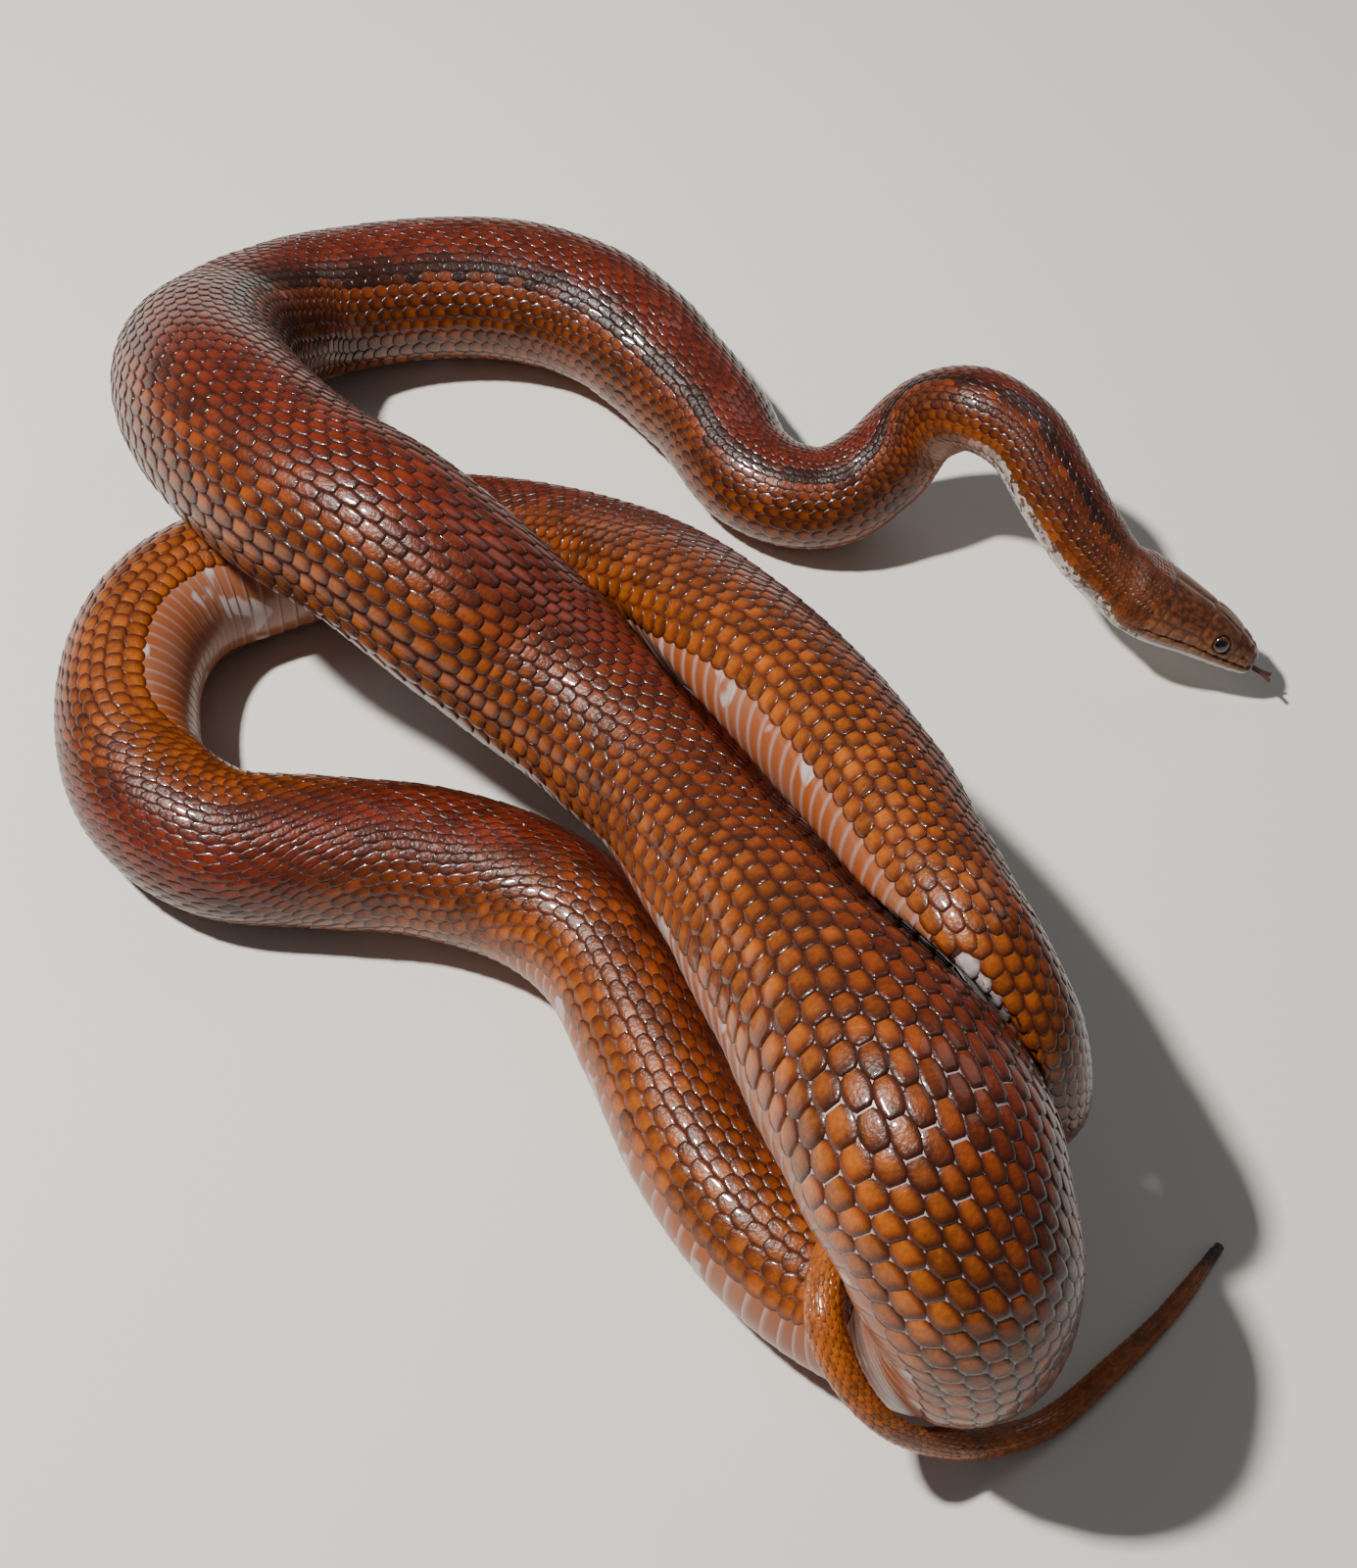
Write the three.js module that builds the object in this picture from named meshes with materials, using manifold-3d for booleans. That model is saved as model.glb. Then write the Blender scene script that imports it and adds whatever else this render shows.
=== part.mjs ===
import * as THREE from "three";
import { mergeVertices } from "three/addons/utils/BufferGeometryUtils.js";
import Module from "manifold-3d";

// A corn snake of the striped kind, life size, lying in loops on a floor.
// Millimetres, +Z up, floor at z = 0.
// The animal is one long tube from the back of the head to the tail tip.
// It is cut across into lengths that meet face to face.

// Sizes that drive the form
const CUT = 0.3;
const SIDES = 16;
const SCUTE_PITCH = 8.6;
const SCUTE_STEP = 0.55;
const SCUTE_ROOT = 0.35;
const SCUTE_FULL_HALF = 7;
const BELLY_HALF_ANGLE = 52;
const BELLY_FLATTEN = 0.07;
const FLANK_SWELL = 0.02;
const INNER_BEND_LIMIT = 0.82;
const FRAME_STEP = 2;
const FOOTPRINT_CENTRE = new THREE.Vector2(-1, -2);

// Where two strands touch: the gap, the steps looked at, and how far off is another strand
const TOUCH_GAP = 0.9;
const TOUCH_STEP = 1.5;
const TOUCH_MARGIN = 2;
const OTHER_STRAND = 30;
const OTHER_STRAND_WIDTHS = 1.5;
const GLANCING = 0.05;

// Sizes of the head
const HEAD_LENGTH = 26.4;
const HEAD_HALF_WIDTH = 7.6;
const SNOUT_DROP = 0.4;
const LIP_GROOVE = 0.35;
const LIP_HALF_HEIGHT = 0.3;
const EYE_RADIUS = 1.7;
const EYE_AT = new THREE.Vector3(19.4, 3.55, 1.2);
const NOSTRIL_RADIUS = 0.45;
const NOSTRIL_AT = new THREE.Vector3(24.2, 2.9, 0.6);
const TONGUE_LENGTH = 3.4;
const TONGUE_THICK = 0.5;
const TONGUE_HALF_WIDTH = 0.5;
const TONGUE_HALF_SPREAD = 1.5;
const TONGUE_DROP = 1.2;
const FORK_FROM = 0.5;
const CLEFT_FROM = 0.62;

// Colours of the plain solids and how rough they are
const SKIN_COLOURS = [0x9a4a22, 0xa8542a];
const HEAD_COLOUR = 0x8a4a28;
const EYE_COLOUR = 0x1a0f0a;
const TONGUE_COLOUR = 0x2a1512;
const SKIN_ROUGH = 0.45;
const EYE_ROUGH = 0.1;
const TONGUE_ROUGH = 0.5;

// Head: the point where it joins the neck, the way it looks, the way its top faces
const HEAD_REAR = new THREE.Vector3(72, 30, 16.5);
const HEAD_LOOK = new THREE.Vector3(22.5, -10.5, -8.5);
const HEAD_TOP = new THREE.Vector3(0.37, 0.26, 0.89);
const AWAY_FROM_SNOUT = HEAD_LOOK.clone().normalize().negate();
const NAPE_BLEND = 8;

// The lie of the body from neck to tail tip.
// Each station: name, x, y, height of the middle, half thickness.
const STATIONS = [
  ["nape", 72, 30, 16.5, 6.9],
  ["neck_low", 67, 35, 20, 7.2],
  ["neck_mid", 62, 42, 24.5, 7.3],
  ["neck_high", 57, 50, 28.5, 7.4],
  ["arch", 49.5, 56, 29.2, 7.6],
  ["arch_down", 42, 59.8, 23, 8],
  ["arch_foot", 34.5, 57, 14.5, 8.6],
  ["first_bend", 26.5, 54.5, 10.2, 9.1],
  ["first_bend_out", 18.5, 56, 9.2, 9.4],
  ["rise_a", 11.5, 62, 9, 9.8],
  ["rise_b", 6, 73, 10, 10.4],
  ["rise_c", 0, 82, 10.5, 11],
  ["rise_d", -7, 91, 11.5, 11.8],
  ["top_a", -16, 99, 12, 12.6],
  ["top_b", -29, 104, 12.5, 13],
  ["top_c", -42, 105, 12.5, 13],
  ["top_d", -56, 103, 12.5, 13.1],
  ["top_e", -69, 97, 14, 13.6],
  ["hairpin_a", -78, 84, 19, 14.3],
  ["hairpin_b", -80, 65, 29, 15.1],
  ["hairpin_c", -72, 43, 38, 15.5],
  ["front_a", -59, 26, 41, 15.7],
  ["front_b", -46, 16, 41, 15.7],
  ["front_c", -34, 7, 37, 15.5],
  ["front_d", -23, 0, 31, 15],
  ["front_e", -12, -9, 28, 14.5],
  ["middle_a", 0, -23, 28, 14.3],
  ["middle_b", 9, -41, 31, 14.9],
  ["middle_c", 18, -62, 38, 16.6],
  ["thick_a", 26, -83, 45, 18.2],
  ["thick_b", 31, -96, 46, 18],
  ["turn_a", 35, -105, 40, 16.2],
  ["turn_b", 37, -108, 28, 14.2],
  ["turn_c", 33, -104, 17, 13],
  ["lower_a", 24, -98, 11.5, 12.2],
  ["lower_b", 14, -90, 11.2, 11.8],
  ["lower_c", 4, -75, 11.2, 11.8],
  ["lower_d", -3, -58, 11.2, 11.8],
  ["lower_e", -11, -41, 11.2, 11.8],
  ["under_a", -23, -30, 11.2, 11.8],
  ["under_b", -38, -24, 11.2, 11.8],
  ["under_c", -55, -22, 11.2, 11.8],
  ["under_d", -71, -20, 11.2, 11.8],
  ["left_a", -83, -10, 11.2, 11.8],
  ["left_b", -88, 6, 11.2, 11.8],
  ["left_c", -87, 21, 11.2, 11.8],
  ["left_d", -81, 31, 11.2, 11.8],
  ["left_e", -70, 37, 11.2, 11.8],
  ["below_a", -57, 41, 11.2, 11.8],
  ["below_b", -43, 43, 11.2, 11.8],
  ["below_c", -28, 40, 13, 11.8],
  ["climb_a", -13, 29, 20, 11.8],
  ["climb_b", -1, 12, 31, 11.8],
  ["right_a", 10, -7, 40, 11.7],
  ["right_b", 19, -24, 46, 11.5],
  ["right_c", 27, -41, 50, 11.1],
  ["right_d", 33, -57, 53, 10.2],
  ["right_e", 38, -68, 54, 9.2],
  ["dive_a", 44, -76, 49, 8.1],
  ["dive_b", 48, -80, 37, 7.1],
  ["behind_a", 47, -78, 26, 6.2],
  ["behind_b", 39, -79, 20, 5.1],
  ["vent", 28, -88, 24, 4],
  ["tail_a", 20, -101, 28, 3.1],
  ["tail_b", 19, -110, 27, 2.8],
  ["tail_c", 25, -117, 19, 2.5],
  ["tail_d", 36, -117, 8, 2.3],
  ["tail_e", 49, -112, 1.8, 2.1],
  ["tail_f", 60, -103, 1.5, 1.8],
  ["tail_g", 69, -94, 1.1, 1.4],
  ["tip", 77, -84, 0.7, 0.8],
];

// The way the back faces at some of the stations, and smoothly between them
const BACKS = [
  ["nape", 0.4, 0.4, 0.82],
  ["neck_low", 0.62, 0.25, 0.75],
  ["neck_high", 0.66, 0.2, 0.72],
  ["arch", 0.3, 0.4, 0.86],
  ["arch_foot", 0.1, 0.3, 0.95],
  ["rise_a", 0.1, 0.26, 0.97],
  ["top_b", 0, 0.12, 0.98],
  ["hairpin_a", -0.2, 0.1, 0.92],
  ["front_b", 0.3, 0.1, 0.95],
  ["front_e", 0.55, 0.2, 0.8],
  ["middle_c", 0.8, 0.05, 0.6],
  ["thick_b", 0.82, 0.1, 0.55],
  ["turn_b", 0.93, 0.2, 0.25],
  ["lower_a", 0.75, 0.6, 0.3],
  ["lower_e", 0.75, 0.5, 0.45],
  ["under_b", 0.05, 0.1, 1],
  ["under_d", -0.2, -0.8, 0.55],
  ["left_b", -0.9, 0.1, -0.35],
  ["left_d", -0.45, 0.85, -0.25],
  ["below_b", 0, 0.5, 0.87],
  ["climb_a", 0.5, 0.4, 0.75],
  ["right_b", 0.88, 0.45, 0.16],
  ["right_e", 0.9, 0.4, 0.12],
  ["dive_b", 0.95, 0.2, 0],
  ["behind_a", 0.6, 0.8, 0.1],
  ["behind_b", -0.2, 0.9, 0.4],
  ["vent", -0.6, 0.4, 0.7],
  ["tail_b", -0.4, 0.1, 0.9],
  ["tail_d", 0, -0.1, 1],
  ["tip", 0, 0, 1],
];

// The lengths of the animal, each named after the station where it ends
const LENGTHS = [
  ["neck", "arch_down"],
  ["body_1", "rise_d"],
  ["body_2", "top_e"],
  ["body_3", "front_b"],
  ["body_4", "middle_b"],
  ["body_5", "thick_b"],
  ["body_6", "lower_b"],
  ["body_7", "under_b"],
  ["body_8", "left_c"],
  ["body_9", "below_c"],
  ["body_10", "right_b"],
  ["body_11", "dive_b"],
  ["tail_base", "tail_b"],
  ["tail", "tip"],
];

// A smooth line through the stations
const names = STATIONS.map((row) => row[0]);
const points = STATIONS.map((row) => new THREE.Vector3(row[1], row[2], row[3]));
const halves = STATIONS.map((row) => row[4]);
const curve = new THREE.CatmullRomCurve3(points, false, "centripetal");
const STEPS = 24;
const LAST_STATION = points.length - 1;

function stationNumber(name) {
  return names.indexOf(name);
}

function mix(a, b, t) {
  return a + (b - a) * t;
}

function smooth(t) {
  const c = Math.min(1, Math.max(0, t));
  return c * c * (3 - 2 * c);
}

// Samples along the line, with distance from the nape
const samples = [];
for (let i = 0; i <= LAST_STATION * STEPS; i += 1) {
  const place = i / STEPS;
  const at = curve.getPoint(place / LAST_STATION);
  const last = samples[samples.length - 1];
  const along = last ? last.along + last.at.distanceTo(at) : 0;
  const whole = Math.min(Math.floor(place), LAST_STATION - 1);
  const half = mix(halves[whole], halves[whole + 1], smooth(place - whole));
  samples.push({ at, along, half, place });
}
const TOTAL = samples[samples.length - 1].along;

function backAt(place) {
  const keys = BACKS.map((row) => stationNumber(row[0]));
  let k = 0;
  while (k < keys.length - 2 && place > keys[k + 1]) {
    k += 1;
  }
  const t = smooth((place - keys[k]) / (keys[k + 1] - keys[k]));
  const a = new THREE.Vector3(...BACKS[k].slice(1)).normalize();
  const b = new THREE.Vector3(...BACKS[k + 1].slice(1)).normalize();
  return a.lerp(b, t);
}

function sampleAt(along) {
  let low = 0;
  let high = samples.length - 1;
  while (high - low > 1) {
    const mid = (low + high) >> 1;
    if (samples[mid].along < along) {
      low = mid;
    } else {
      high = mid;
    }
  }
  const a = samples[low];
  const b = samples[high];
  const t = (along - a.along) / (b.along - a.along);
  return {
    at: a.at.clone().lerp(b.at, t),
    half: mix(a.half, b.half, t),
    place: mix(a.place, b.place, t),
  };
}

// Frame across the body: forward (to the tail), back and right side, and the bend
function frameAt(along) {
  const here = sampleAt(along);
  const ahead = sampleAt(Math.min(TOTAL, along + FRAME_STEP)).at;
  const behind = sampleAt(Math.max(0, along - FRAME_STEP)).at;
  const forward = ahead.clone().sub(behind).normalize();
  if (along < NAPE_BLEND) {
    forward.lerp(AWAY_FROM_SNOUT, 1 - smooth(along / NAPE_BLEND)).normalize();
  }
  const back = backAt(here.place);
  back.addScaledVector(forward, -back.dot(forward)).normalize();
  const side = new THREE.Vector3().crossVectors(forward, back);
  const bend = ahead.clone().add(behind).addScaledVector(here.at, -2);
  bend.divideScalar(FRAME_STEP ** 2);
  return { ...here, forward, back, side, bend, along };
}

// Flesh gives way where two strands press on each other and on the floor
const coarse = [];
for (let along = 0; along <= TOTAL; along += TOUCH_STEP) {
  coarse.push({ ...sampleAt(along), along });
}

function reach(frame, way, wanted) {
  let length = wanted;
  for (const other of coarse) {
    const apart = Math.abs(other.along - frame.along);
    if (apart < Math.max(OTHER_STRAND, OTHER_STRAND_WIDTHS * (other.half + frame.half))) {
      continue;
    }
    const between = other.at.clone().sub(frame.at);
    const distance = between.length();
    if (distance > frame.half + other.half + TOUCH_MARGIN) {
      continue;
    }
    const towards = way.dot(between) / distance;
    if (towards < GLANCING) {
      continue;
    }
    const split = (distance + (frame.half ** 2 - other.half ** 2) / distance) / 2;
    length = Math.min(length, (split - TOUCH_GAP / 2) / towards);
  }
  return length;
}

// Outline of one cross section: a loaf with a flatter belly
function loaf(angle) {
  const belly = Math.max(0, -Math.cos(angle));
  return 1 - BELLY_FLATTEN * belly ** 3 + FLANK_SWELL * Math.sin(angle) ** 2;
}

function ring(along, scuteRise) {
  const frame = frameAt(along);
  const out = [];
  for (let i = 0; i < SIDES; i += 1) {
    const angle = ((i + 0.5) / SIDES) * Math.PI * 2;
    const fromBelly = Math.abs((angle * 180) / Math.PI - 180);
    const onBelly = fromBelly < BELLY_HALF_ANGLE ? 1 : 0;
    const way = frame.back.clone().multiplyScalar(Math.cos(angle));
    way.addScaledVector(frame.side, Math.sin(angle));
    const rise = onBelly * scuteRise * Math.min(1, frame.half / SCUTE_FULL_HALF);
    const wanted = frame.half * loaf(angle) + rise;
    const offset = way.clone().multiplyScalar(reach(frame, way, wanted));
    const tight = frame.bend.length();
    if (tight > 1e-6) {
      const inward = frame.bend.clone().divideScalar(tight);
      const over = offset.dot(inward) - INNER_BEND_LIMIT / tight;
      if (over > 0) {
        offset.addScaledVector(inward, -over);
      }
    }
    const vertex = frame.at.clone().add(offset);
    vertex.z = Math.max(0, vertex.z);
    out.push(vertex);
  }
  return out;
}

// A closed body from rings of equal count, with a middle point at either end
function closedLoft(rings, firstMiddle, lastMiddle) {
  const count = rings[0].length;
  const positions = [];
  for (const each of rings) {
    for (const p of each) {
      positions.push(p.x, p.y, p.z);
    }
  }
  positions.push(firstMiddle.x, firstMiddle.y, firstMiddle.z);
  positions.push(lastMiddle.x, lastMiddle.y, lastMiddle.z);
  const first = rings.length * count;
  const last = first + 1;
  const index = [];
  for (let r = 0; r < rings.length - 1; r += 1) {
    for (let i = 0; i < count; i += 1) {
      const j = (i + 1) % count;
      const a = r * count + i;
      const b = r * count + j;
      index.push(a, b, a + count, b, b + count, a + count);
    }
  }
  for (let i = 0; i < count; i += 1) {
    const j = (i + 1) % count;
    const top = (rings.length - 1) * count;
    index.push(first, j, i, last, top + i, top + j);
  }
  const geometry = new THREE.BufferGeometry();
  geometry.setAttribute("position", new THREE.Float32BufferAttribute(positions, 3));
  geometry.setIndex(index);
  return geometry;
}

function middleOf(points3) {
  const sum = new THREE.Vector3();
  for (const p of points3) {
    sum.add(p);
  }
  return sum.divideScalar(points3.length);
}

// One length of the body: belly scutes overlap like shingles, free edge to the tail
function bodyLength(from, to) {
  const rings = [];
  const count = Math.max(2, Math.round((to - from) / SCUTE_PITCH));
  const pitch = (to - from) / count;
  for (let i = 0; i < count; i += 1) {
    const start = from + i * pitch;
    rings.push(ring(start + (i === 0 ? 0 : SCUTE_ROOT), 0));
    rings.push(ring(start + pitch, SCUTE_STEP));
  }
  return closedLoft(rings, middleOf(rings[0]), middleOf(rings[rings.length - 1]));
}

const group = new THREE.Group();
group.name = "corn_snake";

function material(colour, roughness) {
  const made = new THREE.MeshStandardMaterial();
  made.color = new THREE.Color(colour);
  made.roughness = roughness;
  made.metalness = 0;
  return made;
}

function addNode(name, geometry, colour, roughness) {
  geometry.translate(-FOOTPRINT_CENTRE.x, -FOOTPRINT_CENTRE.y, 0);
  geometry.computeVertexNormals();
  const mesh = new THREE.Mesh(geometry, material(colour, roughness));
  mesh.name = name;
  group.add(mesh);
}

// Body lengths from the neck to the tail tip
function alongOf(name) {
  return samples[stationNumber(name) * STEPS].along;
}

let start = 0;
LENGTHS.forEach(([name, endName], k) => {
  const end = alongOf(endName);
  const from = k === 0 ? CUT : start + CUT / 2;
  const to = k === LENGTHS.length - 1 ? end : end - CUT / 2;
  addNode(name, bodyLength(from, to), SKIN_COLOURS[k % 2], SKIN_ROUGH);
  start = end;
});

// Head, built looking along +X with its top to +Z, then laid in place.
// Stations: distance forward, half width, height of crown, depth of chin, lip line
const HEAD_SECTIONS = [
  [0, 0.91, 6.7, -6.7, -2.4],
  [2.5, 0.95, 6.4, -6.3, -2.2],
  [5.5, 1, 5.9, -5.9, -2.0],
  [8.5, 0.99, 5.6, -5.6, -1.8],
  [11.5, 0.9, 5.3, -5.1, -1.5],
  [14, 0.79, 5.1, -4.6, -1.3],
  [16, 0.71, 4.9, -4.3, -1.2],
  [18, 0.65, 4.7, -4.0, -1.15],
  [20, 0.57, 4.2, -3.7, -1.1],
  [22, 0.49, 3.6, -3.4, -1.1],
  [24, 0.4, 2.8, -3.0, -1.1],
  [25.4, 0.3, 2.0, -2.6, -1.15],
  [26.1, 0.18, 1.2, -2.1, -1.2],
];

function headRing([x, width, crown, chin, lip], k) {
  const w = width * HEAD_HALF_WIDTH;
  const groove = k === 0 ? 0 : LIP_GROOVE;
  const half = [
    [0.38 * w, crown * 0.98],
    [0.7 * w, crown * 0.82],
    [0.9 * w, crown * 0.5],
    [w, crown * 0.08],
    [0.985 * w, lip + LIP_HALF_HEIGHT],
    [0.975 * w - groove, lip],
    [0.955 * w, lip - LIP_HALF_HEIGHT],
    [0.87 * w, mix(lip, chin, 0.5)],
    [0.62 * w, mix(lip, chin, 0.86)],
    [0.3 * w, chin * 0.99],
  ];
  const out = [new THREE.Vector3(x, 0, crown)];
  for (const [y, z] of half) {
    out.push(new THREE.Vector3(x, -y, z));
  }
  out.push(new THREE.Vector3(x, 0, chin));
  for (const [y, z] of half.slice().reverse()) {
    out.push(new THREE.Vector3(x, y, z));
  }
  return out;
}

const wasm = await Module();
wasm.setup();
const { Manifold, Mesh } = wasm;

function toSolid(geometry) {
  const mesh = new Mesh({
    numProp: 3,
    vertProperties: new Float32Array(geometry.getAttribute("position").array),
    triVerts: new Uint32Array(geometry.getIndex().array),
  });
  mesh.merge();
  return new Manifold(mesh);
}

function toGeometry(solid) {
  const mesh = solid.getMesh();
  const geometry = new THREE.BufferGeometry();
  const flat = new THREE.Float32BufferAttribute(mesh.vertProperties, 3);
  geometry.setAttribute("position", flat);
  geometry.setIndex(Array.from(mesh.triVerts));
  return geometry;
}

const look = HEAD_LOOK.clone().normalize();
const top = HEAD_TOP.clone().addScaledVector(look, -HEAD_TOP.dot(look)).normalize();
const left = new THREE.Vector3().crossVectors(top, look);
const headPlace = new THREE.Matrix4().makeBasis(look, left, top).setPosition(HEAD_REAR);

const headRings = HEAD_SECTIONS.map(headRing);
const snout = new THREE.Vector3(HEAD_LENGTH, 0, -SNOUT_DROP);
let headSolid = toSolid(closedLoft(headRings, new THREE.Vector3(0, 0, 0), snout));

function ball(radius, detail, x, y, z) {
  const geometry = new THREE.IcosahedronGeometry(radius, detail);
  geometry.deleteAttribute("normal");
  geometry.deleteAttribute("uv");
  geometry.translate(x, y, z);
  return mergeVertices(geometry, 1e-4);
}

// Eye sockets and nostrils
for (const sign of [-1, 1]) {
  const socket = ball(EYE_RADIUS + CUT, 2, EYE_AT.x, sign * EYE_AT.y, EYE_AT.z);
  headSolid = headSolid.subtract(toSolid(socket));
  const nostril = ball(NOSTRIL_RADIUS, 1, NOSTRIL_AT.x, sign * NOSTRIL_AT.y, NOSTRIL_AT.z);
  headSolid = headSolid.subtract(toSolid(nostril));
}
const headGeometry = toGeometry(headSolid);
headGeometry.applyMatrix4(headPlace);
addNode("head", headGeometry, HEAD_COLOUR, SKIN_ROUGH);

for (const [name, sign] of [["eye_right", -1], ["eye_left", 1]]) {
  const geometry = ball(EYE_RADIUS, 2, EYE_AT.x, sign * EYE_AT.y, EYE_AT.z);
  geometry.applyMatrix4(headPlace);
  addNode(name, geometry, EYE_COLOUR, EYE_ROUGH);
}

// Forked tongue, just outside the lips
const fork = new THREE.Shape();
fork.moveTo(0, -TONGUE_HALF_WIDTH);
fork.lineTo(FORK_FROM * TONGUE_LENGTH, -TONGUE_HALF_WIDTH);
fork.lineTo(TONGUE_LENGTH, -TONGUE_HALF_SPREAD);
fork.lineTo(TONGUE_LENGTH, TONGUE_HALF_WIDTH - TONGUE_HALF_SPREAD);
fork.lineTo(CLEFT_FROM * TONGUE_LENGTH, 0);
fork.lineTo(TONGUE_LENGTH, TONGUE_HALF_SPREAD - TONGUE_HALF_WIDTH);
fork.lineTo(TONGUE_LENGTH, TONGUE_HALF_SPREAD);
fork.lineTo(FORK_FROM * TONGUE_LENGTH, TONGUE_HALF_WIDTH);
fork.lineTo(0, TONGUE_HALF_WIDTH);
fork.closePath();
const strip = new THREE.ExtrudeGeometry(fork, { depth: TONGUE_THICK, bevelEnabled: false });
strip.translate(HEAD_LENGTH + CUT, 0, -TONGUE_DROP - TONGUE_THICK / 2);
strip.applyMatrix4(headPlace);
addNode("tongue", strip, TONGUE_COLOUR, TONGUE_ROUGH);

export default group;
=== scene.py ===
import math

import bmesh
import bpy
import numpy as np
from mathutils import Matrix, Vector


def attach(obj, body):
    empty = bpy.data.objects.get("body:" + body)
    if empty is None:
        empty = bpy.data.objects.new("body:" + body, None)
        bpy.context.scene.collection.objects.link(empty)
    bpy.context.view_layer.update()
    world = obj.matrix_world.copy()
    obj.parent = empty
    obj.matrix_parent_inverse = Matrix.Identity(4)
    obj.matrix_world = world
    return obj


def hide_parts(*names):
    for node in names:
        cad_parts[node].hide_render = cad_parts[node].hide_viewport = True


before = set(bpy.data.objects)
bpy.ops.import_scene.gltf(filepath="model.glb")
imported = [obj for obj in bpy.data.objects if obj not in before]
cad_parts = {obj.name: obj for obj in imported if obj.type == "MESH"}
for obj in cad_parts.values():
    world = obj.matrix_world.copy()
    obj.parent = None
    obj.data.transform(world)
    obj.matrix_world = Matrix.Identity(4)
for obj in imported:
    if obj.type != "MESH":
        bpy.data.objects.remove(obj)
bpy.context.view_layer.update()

# The lie of the snake
# A corn snake of the striped kind is one long muscled tube in loops. The line
# through its middle, its thickness and the way its back faces shape every piece.
MM = 0.001
CENTRE = np.array([-1.0, -2.0, 0.0])
# name, place (x, y, z) and half thickness, in mm
STATIONS = [
    ("nape", 72, 30, 16.5, 6.9), ("neck_low", 67, 35, 20, 7.2), ("neck_mid", 62, 42, 24.5, 7.3),
    ("neck_high", 57, 50, 28.5, 7.4), ("arch", 49.5, 56, 29.2, 7.6), ("arch_down", 42, 59.8, 23, 8),
    ("arch_foot", 34.5, 57, 14.5, 8.6), ("first_bend", 26.5, 54.5, 10.2, 9.1),
    ("first_bend_out", 18.5, 56, 9.2, 9.4), ("rise_a", 11.5, 62, 9, 9.8), ("rise_b", 6, 73, 10, 10.4),
    ("rise_c", 0, 82, 10.5, 11), ("rise_d", -7, 91, 11.5, 11.8), ("top_a", -16, 99, 12, 12.6),
    ("top_b", -29, 104, 12.5, 13), ("top_c", -42, 105, 12.5, 13), ("top_d", -56, 103, 12.5, 13.1),
    ("top_e", -69, 97, 14, 13.6), ("hairpin_a", -78, 84, 19, 14.3), ("hairpin_b", -80, 65, 29, 15.1),
    ("hairpin_c", -72, 43, 38, 15.5), ("front_a", -59, 26, 41, 15.7), ("front_b", -46, 16, 41, 15.7),
    ("front_c", -34, 7, 37, 15.5), ("front_d", -23, 0, 31, 15), ("front_e", -12, -9, 28, 14.5),
    ("middle_a", 0, -23, 28, 14.3), ("middle_b", 9, -41, 31, 14.9), ("middle_c", 18, -62, 38, 16.6),
    ("thick_a", 26, -83, 45, 18.2), ("thick_b", 31, -96, 46, 18), ("turn_a", 35, -105, 40, 16.2),
    ("turn_b", 37, -108, 28, 14.2), ("turn_c", 33, -104, 17, 13), ("lower_a", 24, -98, 11.5, 12.2),
    ("lower_b", 14, -90, 11.2, 11.8), ("lower_c", 4, -75, 11.2, 11.8), ("lower_d", -3, -58, 11.2, 11.8),
    ("lower_e", -11, -41, 11.2, 11.8), ("under_a", -23, -30, 11.2, 11.8),
    ("under_b", -38, -24, 11.2, 11.8), ("under_c", -55, -22, 11.2, 11.8),
    ("under_d", -71, -20, 11.2, 11.8), ("left_a", -83, -10, 11.2, 11.8), ("left_b", -88, 6, 11.2, 11.8),
    ("left_c", -87, 21, 11.2, 11.8), ("left_d", -81, 31, 11.2, 11.8), ("left_e", -70, 37, 11.2, 11.8),
    ("below_a", -57, 41, 11.2, 11.8), ("below_b", -43, 43, 11.2, 11.8), ("below_c", -28, 40, 13, 11.8),
    ("climb_a", -13, 29, 20, 11.8), ("climb_b", -1, 12, 31, 11.8), ("right_a", 10, -7, 40, 11.7),
    ("right_b", 19, -24, 46, 11.5), ("right_c", 27, -41, 50, 11.1), ("right_d", 33, -57, 53, 10.2),
    ("right_e", 38, -68, 54, 9.2), ("dive_a", 44, -76, 49, 8.1), ("dive_b", 48, -80, 37, 7.1),
    ("behind_a", 47, -78, 26, 6.2), ("behind_b", 39, -79, 20, 5.1), ("vent", 28, -88, 24, 4),
    ("tail_a", 20, -101, 28, 3.1), ("tail_b", 19, -110, 27, 2.8), ("tail_c", 25, -117, 19, 2.5),
    ("tail_d", 36, -117, 8, 2.3), ("tail_e", 49, -112, 1.8, 2.1), ("tail_f", 60, -103, 1.5, 1.8),
    ("tail_g", 69, -94, 1.1, 1.4), ("tip", 77, -84, 0.7, 0.8),
]
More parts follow.
